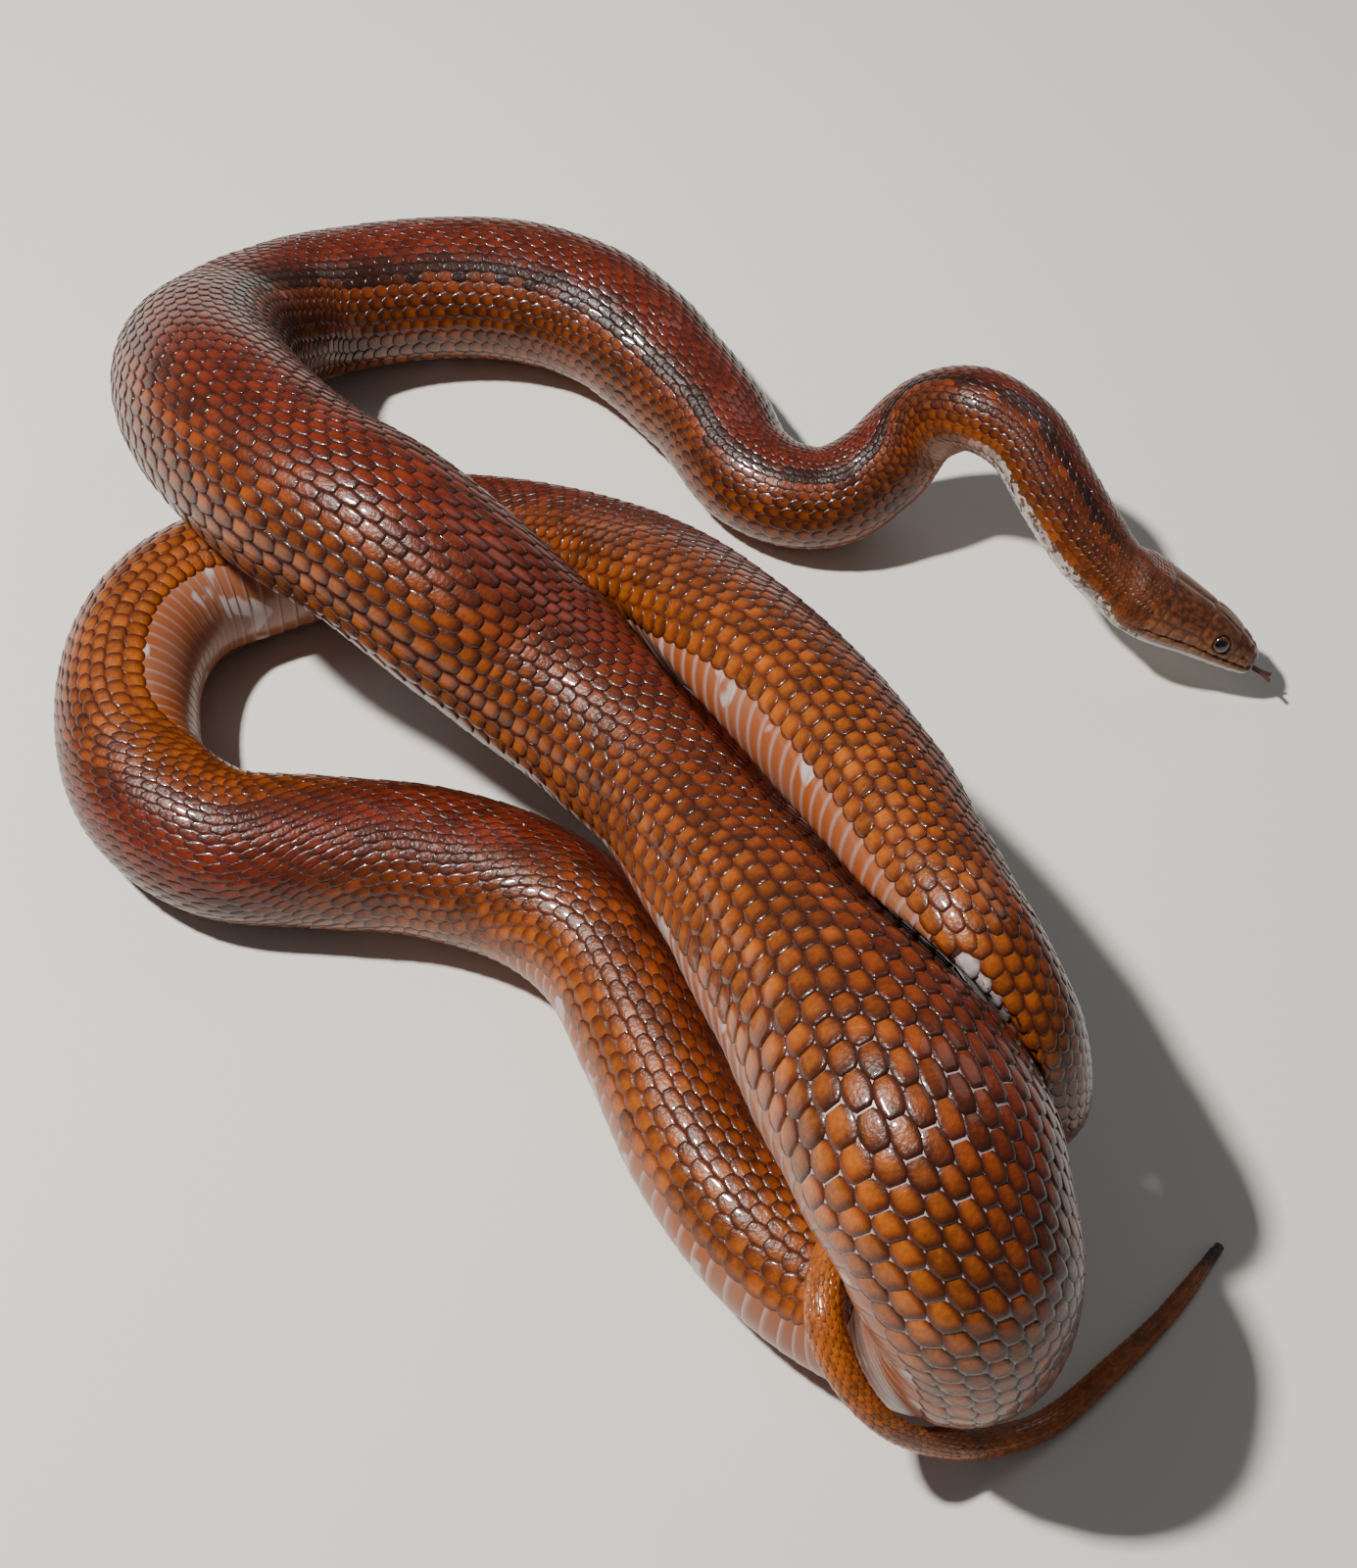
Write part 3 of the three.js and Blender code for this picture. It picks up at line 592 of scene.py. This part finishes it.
# name, the station where the stretch ends, scales round
STRETCHES = [
    ("scales_neck", "rise_b", 25), ("scales_top", "hairpin_b", 27), ("scales_front", "middle_a", 27),
    ("scales_thick", "lower_b", 27), ("scales_under", "left_a", 27), ("scales_left", "climb_a", 27),
    ("scales_right", "right_e", 25), ("scales_vent", "vent", 19), ("scales_tail", "tail_d", 13),
    ("scales_tip", "tip", 9),
]
STRETCHES_FROM = -9
EDGE_WIDER = 0.32       # scales at the belly's edge are wider than those on the back
random = np.random.default_rng(7)
row_index = np.arange(K, dtype=float)
curve = np.convolve(np.pad(tight, CURVE_SPAN // 2, "edge"), np.ones(CURVE_SPAN) / CURVE_SPAN, "valid")


def on_surface(s, turn):
    """Place and outward direction at distance s along and turn (0 to 1) round."""
    r = np.interp(s, row_s, row_index)
    c = (turn % 1.0) * SIDES
    r0 = np.clip(r.astype(int), 0, K - 2)
    c0 = np.floor(c).astype(int)
    fr, fc = (r - r0)[..., None], (c - c0)[..., None]
    c0, c1 = c0 % SIDES, (c0 + 1) % SIDES
    out = []
    for g in (grid, normals):
        low_row = g[r0, c0] * (1 - fc) + g[r0, c1] * fc
        high_row = g[r0 + 1, c0] * (1 - fc) + g[r0 + 1, c1] * fc
        out.append(low_row * (1 - fr) + high_row * fr)
    return out[0], unit(out[1])


def pitch_at(s):
    """Distance from one row of scales to the next, closer where the body bends."""
    r = thickness(np.maximum(s, 0))
    crowded = 1 + CROWDING * r * np.interp(s, body_s, curve)
    from_nape = NAPE_PITCH + PITCH_GAIN * smooth((s - FIRST_SCALE) / FULL_PITCH_IN)
    return (ROW_PITCH + ROW_PITCH_PER_HALF * r) * from_nape / crowded


def leaf_height(uu, vv, apart, keel, tilt):
    """Height over the skin: rising to the free end, or level where leaves stand apart."""
    slope = (0.3 + 0.7 * vv) * (1 - 0.6 * apart) + 0.6 * apart
    height = smooth(vv / 0.2) * slope * (1 - 0.14 * uu ** 2)
    height = height + keel * np.maximum(0, 1 - np.abs(uu) * 2) * smooth(vv / 0.3)
    height = height * (1 + tilt * uu)
    return height * np.where((np.abs(uu) > 0.99) | (vv > 0.99), EDGE_DOWN, 1.0)


def unwrap_leaves(obj, s, turn, width, uu, vv, patch):
    """Each leaf gets its own place in the picture, about where it is on the body."""
    first_s, last_s, tall = patch
    layer = obj.data.uv_layers.new(name="OFBake")
    pu = (s[:, None] - first_s + (vv.ravel()[None] - 0.5) * 0.84 * tall) / (last_s - first_s)
    pv = ((turn[:, None] + 0.5) % 1.0) + uu.ravel()[None] * width[:, None] * 0.36
    flat = np.stack([np.clip(pu, 0.001, 0.999), np.clip(pv, 0.001, 0.999)], -1).reshape(-1, 2)
    loop_vert = np.zeros(len(obj.data.loops), np.int32)
    obj.data.loops.foreach_get("vertex_index", loop_vert)
    layer.data.foreach_set("uv", flat[loop_vert].astype(np.float32).ravel())


def lay(name, s, turn, length, width, lift, spread, shape_v, shapes, shape_u, keel, patch):
    """A joined mesh of one leaf at each (s, turn), root to the head."""
    uu, vv = np.meshgrid(np.asarray(shape_u), np.asarray(shape_v))
    count = len(s)
    lean, even = np.asarray(shapes)[:, None, :, None]
    apart = spread[:, None, None]
    leaf_width = lean * (1 - apart) + even * apart
    ss = s[:, None, None] + (vv[None] - ROOT_AT) * length[:, None, None]
    th = turn[:, None, None] + uu[None] * leaf_width * width[:, None, None] / 2
    tilt = random.normal(0, LEAF_TILT, count)[:, None, None]
    height = leaf_height(uu, vv, apart, keel, tilt)
    points, outward = on_surface(ss, th)
    points = points + outward * (height * lift[:, None, None] * MM)[..., None]
    points[..., 2] = np.maximum(points[..., 2], FLOOR_GAP)
    verts = points.reshape(-1, 3)
    base = np.arange(uu.size).reshape(uu.shape)
    cell = np.stack([base[:-1, :-1], base[:-1, 1:], base[1:, 1:], base[1:, :-1]], -1).reshape(-1, 4)
    faces = (np.arange(count)[:, None, None] * uu.size + cell[None]).reshape(-1, 4)
    faces = face_out(verts, faces, outward.reshape(-1, 3))
    obj = add_mesh(name, verts, faces.tolist())
    marks = np.zeros((count, uu.size, 3))
    marks[..., 0] = (((turn + 0.5) % 1.0 - 0.5) * 2)[:, None]
    marks[..., 1] = s[:, None] * MM
    marks[..., 2] = random.random(count)[:, None]
    leaf = np.zeros((count, uu.size, 3))
    leaf[..., 0] = uu.ravel()
    leaf[..., 1] = vv.ravel()
    leaf[..., 2] = spread[:, None]
    add_vectors(obj, "place", marks.reshape(-1, 3))
    add_vectors(obj, "leaf", leaf.reshape(-1, 3))
    unwrap_leaves(obj, s, turn, width, uu, vv, patch)
    return obj


# the striped kind's colours from mid back (0) to the edge of the belly (1)
STRIPES = [
    (0.0, (0.085, 0.009, 0.003)), (0.155, (0.068, 0.008, 0.003)), (0.18, (0.016, 0.005, 0.003)),
    (0.25, (0.017, 0.005, 0.003)), (0.29, (0.120, 0.020, 0.003)), (0.37, (0.042, 0.007, 0.002)),
    (0.52, (0.064, 0.010, 0.003)), (0.66, (0.105, 0.019, 0.003)), (0.80, (0.150, 0.032, 0.004)),
]
LINE_FADED = (0.085, 0.013, 0.003)
FORE_ORANGE, REAR_LIT_ORANGE, TAIL_ORANGE = (0.26, 0.062, 0.007), (0.15, 0.030, 0.003), (0.34, 0.085, 0.008)
JAW_BROWN = (0.10, 0.028, 0.009)
NECK_WHITE, NECK_FLECK = (0.42, 0.36, 0.31), (0.06, 0.03, 0.02)
SPOT_WHITE = (0.36, 0.29, 0.28)
TIP_DARK = (0.03, 0.025, 0.02)
GLOW_BACK, GLOW_SIDE = (0.16, 0.022, 0.005), (0.35, 0.092, 0.008)
RIM_DARK_AND_SHADE = (0.024, 0.006, 0.003)
WHITE_THROAT = (0.024, 0.038)       # metres along, where the white under the neck ends
SPOT_FROM, SPOT_TO = (0.873, 0.875), (0.881, 0.883)


def ramp_between(wire, start, end):
    """0 before one station, 1 after the other."""
    return wire.ramp(station_along(start) * MM, station_along(end) * MM)


def horn(name, roughness):
    material, wire, shader = new_material(name, roughness, 0.42, 0.05)
    across, down_body, lot = wire.parts("place")
    over_leaf, down_leaf, apart = wire.parts("leaf")
    turned = across.size() + (lot - 0.5) * 0.035
    base = turned.bands(STRIPES)
    in_line = turned.ramp(0.16, 0.185) * (1.0 - turned.ramp(0.245, 0.285))
    faded = ramp_between(down_body, "hairpin_a", "front_a")
    base = (in_line * faded * 0.75).tint(base, LINE_FADED)
    fore = 1.0 - down_body.ramp(0.0, 0.09)
    base = (fore * turned.ramp(0.45, 0.75) * 0.8).tint(base, FORE_ORANGE)
    by_jaw = 1.0 - down_body.ramp(-0.006, 0.012)
    base = (by_jaw * 0.7).tint(base, JAW_BROWN)
    # painted light and shade: from the front loop on, the sides are tinted lighter and more orange, while
    # the strands before it stay darker
    rear = ramp_between(down_body, "front_b", "thick_a")
    base = (rear * turned.ramp(0.25, 0.6) * 0.7).tint(base, REAR_LIT_ORANGE)
    on_tail = ramp_between(down_body, "behind_a", "tail_a")
    base = (on_tail * 0.85).tint(base, TAIL_ORANGE)
    under_neck = (1.0 - down_body.ramp(*WHITE_THROAT)) * turned.ramp(0.63, 0.69)
    flecked = wire.noise(800.0, 1.0).ramp(0.52, 0.57).tint(NECK_WHITE, NECK_FLECK)
    base = under_neck.tint(base, flecked)
    spot = down_body.ramp(*SPOT_FROM) * (1.0 - down_body.ramp(*SPOT_TO)) * turned.ramp(0.62, 0.66)
    base = spot.tint(base, SPOT_WHITE)
    last = down_body.ramp((TOTAL - 7) * MM, (TOTAL - 2) * MM)
    base = last.tint(base, TIP_DARK)
    bright = lot * 0.55 + wire.noise(170.0, 2.0) * 1.0 + wire.noise(1200.0, 2.0) * 0.9 - 0.3
    centre = 1.0 - over_leaf.size().ramp(0.2, 0.9)
    plain = 1.0 - on_tail * 0.8 - fore * 0.6
    # partly the scales' own paler middles, partly a painted glow: each leaf is lighter and warmer in its
    # middle towards the root, more so where the leaves stand apart
    glow = centre * (1.0 - down_leaf.ramp(0.4, 0.95)) * (0.4 + apart * 0.35)
    glow = glow * plain * (1.0 - spot) * (1.0 - in_line * (0.85 - faded * 0.55))
    warm = turned.ramp(0.12, 0.6).tint(GLOW_BACK, GLOW_SIDE)
    lit = glow.tint(bright.brighten(base), bright.brighten(warm))
    # partly the leaves' own darker rims, partly painted shade: each leaf is darkened along its sides and
    # free end, where its edge drops to the skin and the next leaf
    rim = over_leaf.size().ramp(0.5, 1.0).calc("MAXIMUM", down_leaf.ramp(0.62, 1.0))
    strong = (0.8 - turned.ramp(0.45, 0.8) * 0.25) * (0.4 + plain * 0.6)
    (rim * strong).tint(lit, RIM_DARK_AND_SHADE).into(shader, "Base Color")
    grain = wire.noise(1500.0, 2.0)
    bump = wire.make("ShaderNodeBump", {}, {"Strength": 0.4, "Distance": 0.0003, "Height": grain})
    bump.into(shader, "Normal")
    return material


def patch_of(s_from, s_to, pitch):
    """The stretch's first and last distance along, with room at both ends."""
    return (s_from - 3, s_to + 6, np.median(pitch))


scale_s, s_now = [], FIRST_SCALE
while s_now < TOTAL - LAST_SCALE:
    scale_s.append(s_now)
    s_now += float(pitch_at(np.array(s_now)))
scale_s = np.array(scale_s)
leaf_material = horn("scale_horn", 0.36)
s_from = STRETCHES_FROM
for name, last_station, count in STRETCHES:
    s_to = station_along(last_station)
    inside = scale_s[(scale_s >= s_from) & (scale_s < s_to)]
    even_edges = np.linspace(-1, 1, count + 1)
    edges = even_edges * (1 + EDGE_WIDER * np.abs(even_edges) ** 3) / (1 + EDGE_WIDER)
    mids, wides = (edges[1:] + edges[:-1]) / 2, np.diff(edges)
    spots = []
    for j in range(count):
        stagger = 0.5 * (abs(j - count // 2) % 2)
        for s in inside:
            spots.append((s + stagger * float(pitch_at(np.array(s))), mids[j], wides[j]))
    spots = np.array(spots)
    s = np.minimum(spots[:, 0] + random.normal(0, 0.05, len(spots)), TOTAL - 0.6)
    full = fullness(s)
    pitch = pitch_at(s)
    width = spots[:, 2] * (0.5 - BELLY) * (1.34 - 0.17 * full)
    lift = (0.075 * pitch + 0.06) * (1 + 0.05 * random.normal(0, 1, len(s)))
    obj = lay(
        name, s, spots[:, 1] * (0.5 - BELLY), pitch * (1.5 - 0.54 * full), width, lift, full,
        LEAF_V, (LEAN, EVEN), LEAF_U, KEEL, patch_of(s_from, s_to, pitch),
    )
    obj.data.materials.append(leaf_material)
    s_from = s_to

# The belly plates
# Wide, thin plates of horn under the body, one to each row of scales. Each
# runs from side to side with its free edge to the tail.
PLATE_V = (0.0, 0.3, 0.6, 0.85, 0.98, 1.0)
PLATE_W = (0.94, 0.98, 1.0, 1.0, 0.97, 0.95)
PLATE_U = np.linspace(-1, 1, 19)
PLATE_LENGTH, PLATE_LIFT = 1.3, 0.1         # in pitches
PLATE_OVERLAP = 1.06                        # how far it runs on under the lowest scales
PLATES_FROM = -2
PLATE_ORANGE, PLATE_TAN = (0.25, 0.060, 0.013), (0.26, 0.095, 0.048)
PLATE_PATCH, PLATE_EDGE_HIGHLIGHT = (0.42, 0.33, 0.31), (0.36, 0.24, 0.22)
THROAT_WHITE, THROAT_FLECK = (0.55, 0.50, 0.46), (0.03, 0.025, 0.025)
material, wire, shader = new_material("belly_horn", 0.36, 0.3, 0.15)
down_body, lot = wire.parts("place")[1:]
down_leaf = wire.parts("leaf")[1]
plate = wire.noise(60.0, 2.0).ramp(0.35, 0.65).tint(PLATE_ORANGE, PLATE_TAN)
patched = (wire.noise(130.0, 1.0) + lot * 0.12).ramp(0.71, 0.76).tint(plate, PLATE_PATCH)
# painted highlight: the free edge of each plate is paler, as where it catches the light
pale = (down_leaf.ramp(0.7, 0.95) * 0.6).tint(patched, PLATE_EDGE_HIGHLIGHT)
flecked = (wire.noise(700.0, 1.0).ramp(0.56, 0.6) * 0.9).tint(THROAT_WHITE, THROAT_FLECK)
(1.0 - down_body.ramp(*WHITE_THROAT)).tint(pale, flecked).into(shader, "Base Color")
halfway = station_along("middle_a")
for name, s_from, s_to in (("belly_fore", PLATES_FROM, halfway), ("belly_rear", halfway, TOTAL)):
    s = scale_s[(scale_s >= s_from) & (scale_s < s_to)]
    pitch = pitch_at(s)
    width = np.full(len(s), 2 * BELLY * PLATE_OVERLAP)
    obj = lay(
        name, s, np.full(len(s), 0.5), pitch * PLATE_LENGTH, width, PLATE_LIFT * pitch,
        fullness(s), PLATE_V, (PLATE_W, PLATE_W), PLATE_U, 0.0, patch_of(s_from, s_to, pitch),
    )
    obj.data.materials.append(material)

# The eyes
# A round ball behind a clear, fixed scale, with no lids: an orange-brown iris
# round a round black pupil, wet and shining.
PUPIL, PUPIL_EDGE = (0.004, 0.003, 0.003), (0.66, 0.70)
IRIS_DARK, IRIS_LIGHT = (0.03, 0.010, 0.005), (0.10, 0.032, 0.010)
EYE_RIM_COLOUR, IRIS_EDGE = (0.02, 0.012, 0.01), (1.0, 1.15)
GAZE_AHEAD, GAZE_UP = 0.22, 0.12
material, wire, shader = new_material("eye_clear", 0.12, 1.0, 0.03)
from_pupil = wire.parts("iris")[0]
ring_colour = wire.noise(2500.0, 2.0).tint(IRIS_DARK, IRIS_LIGHT)
iris = from_pupil.ramp(*PUPIL_EDGE).tint(PUPIL, ring_colour)
from_pupil.ramp(*IRIS_EDGE).tint(iris, EYE_RIM_COLOUR).into(shader, "Base Color")
for name, sign in (("eye_right", -1), ("eye_left", 1)):
    bm = bmesh.new()
    bmesh.ops.create_uvsphere(bm, u_segments=40, v_segments=28, radius=EYE_RADIUS * MM)
    mesh = bpy.data.meshes.new(name + "_ball")
    bm.to_mesh(mesh)
    bm.free()
    gaze = unit(LOOK * GAZE_AHEAD + LEFT * sign + CROWN * GAZE_UP)
    up = unit(np.cross(gaze, LOOK))
    turn_to = Matrix([[*row] for row in np.stack([np.cross(up, gaze), up, gaze], 1)]).to_4x4()
    open_angle = [math.acos(max(-1, min(1, v.co.z / (EYE_RADIUS * MM)))) for v in mesh.vertices]
    centre = HEAD_REAR + EYE_AT[0] * LOOK + sign * EYE_AT[1] * LEFT + EYE_AT[2] * CROWN - CENTRE
    mesh.transform(Matrix.Translation(Vector(centre * MM)) @ turn_to)
    obj = add_object(name + "_ball", mesh)
    values = np.zeros((len(mesh.vertices), 3))
    values[:, 0] = open_angle
    add_vectors(obj, "iris", values)
    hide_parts(name)
    obj.data.materials.append(material)

# The tongue
# A thin forked ribbon of dark, moist flesh, put out through the notch in the lip.
material, wire, shader = new_material("tongue_flesh", 0.6)
shader.inputs["Base Color"].default_value = (0.06, 0.018, 0.016, 1)
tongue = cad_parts["tongue"]
tongue.data.materials.clear()
tongue.data.materials.append(material)

# The floor and the light
# A plain pale floor in a dim room, with one small, near light from the left and
# a weak, wide one from behind on the right.
FLOOR_SIZE = 6
FLOOR_COLOUR = (0.66, 0.64, 0.60, 1)
ROOM_COLOUR, ROOM_LIGHT = (0.94, 0.97, 1.0, 1), 0.14
LIT_AT = Vector((0, 0, 0.02))
# name, place, power, size, colour
LAMPS = [
    ("key", (-0.38, -0.02, 0.72), 13.0, 0.05, (1.0, 0.97, 0.93)),
    ("fill", (0.5, 0.5, 0.8), 1.0, 0.5, (0.97, 0.98, 1.0)),
]
material, wire, shader = new_material("pale_floor", 0.75)
shader.inputs["Base Color"].default_value = FLOOR_COLOUR
bpy.ops.mesh.primitive_plane_add(size=FLOOR_SIZE)
floor = bpy.context.object
floor.name = "floor"
floor.data.materials.append(material)
world = bpy.data.worlds.new("room")
world.use_nodes = True
world.node_tree.nodes["Background"].inputs[0].default_value = ROOM_COLOUR
world.node_tree.nodes["Background"].inputs[1].default_value = ROOM_LIGHT
bpy.context.scene.world = world
for name, lamp_at, power, size, tone in LAMPS:
    light = bpy.data.lights.new(name, "AREA")
    light.energy, light.size, light.color = power, size, tone
    lamp = bpy.data.objects.new(name, light)
    lamp.location = lamp_at
    lamp.rotation_euler = (LIT_AT - Vector(lamp_at)).to_track_quat("-Z", "Y").to_euler()
    bpy.context.scene.collection.objects.link(lamp)

# The view
# From in front and above, at the distance of someone looking down at the animal.
CAMERA_DISTANCE = 0.430
CAMERA_TILT = math.radians(52)
CAMERA_AIM = (0.001, 0.002)
camera_data = bpy.data.cameras.new("camera")
camera_data.lens = 60.95
camera_data.sensor_width = 36
camera_data.clip_start = 0.01
camera = bpy.data.objects.new("camera", camera_data)
camera.location = (
    CAMERA_AIM[0],
    CAMERA_AIM[1] - CAMERA_DISTANCE * math.cos(CAMERA_TILT),
    CAMERA_DISTANCE * math.sin(CAMERA_TILT),
)
camera.rotation_euler = (math.radians(90) - CAMERA_TILT, 0, 0)
bpy.context.scene.collection.objects.link(camera)
bpy.context.scene.camera = camera
